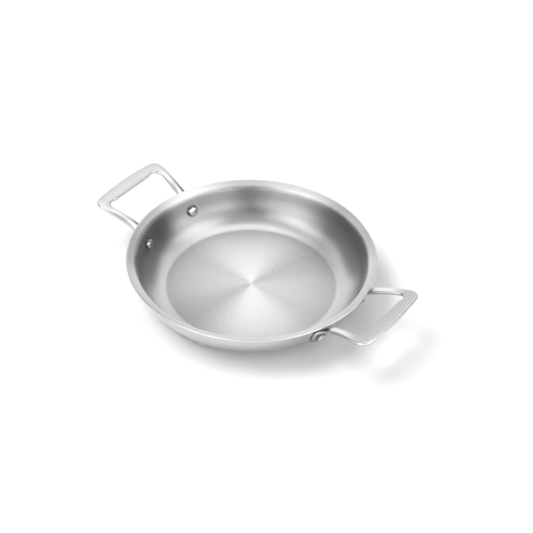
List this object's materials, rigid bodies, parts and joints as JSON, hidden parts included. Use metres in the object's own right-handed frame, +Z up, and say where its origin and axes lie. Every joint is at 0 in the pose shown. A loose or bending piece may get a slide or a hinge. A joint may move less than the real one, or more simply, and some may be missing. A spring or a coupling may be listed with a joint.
{
  "type": "frying pan",
  "caption": "Shallow stainless steel frying pan with a flared lip, a layered base and wall, and riveted loop handles on opposite sides.",
  "frame": {"origin": "centre of the pan's flat underside, on the surface that the pan stands on", "axes": "+X along the line through both handles, +Z up out of the pan"},
  "size_m": [0.4436, 0.3222, 0.0666],
  "materials": {
    "inner_steel": "fine satin, mirror-like at a low angle",
    "core_aluminium": "bare, seen only at the rim's edge",
    "outer_steel": "polished",
    "handle_steel": "satin with polished edges",
    "rivet_steel": "polished"
  },
  "bodies": {
    "root": {"cooking_surface_ply": "inner_steel", "aluminium_core": "core_aluminium", "outer_steel_ply": "outer_steel", "loop_handle_left": "handle_steel", "loop_handle_right": "handle_steel", "rivet_left_front": "rivet_steel", "rivet_left_back": "rivet_steel", "rivet_right_front": "rivet_steel", "rivet_right_back": "rivet_steel"}
  },
  "joints": []
}
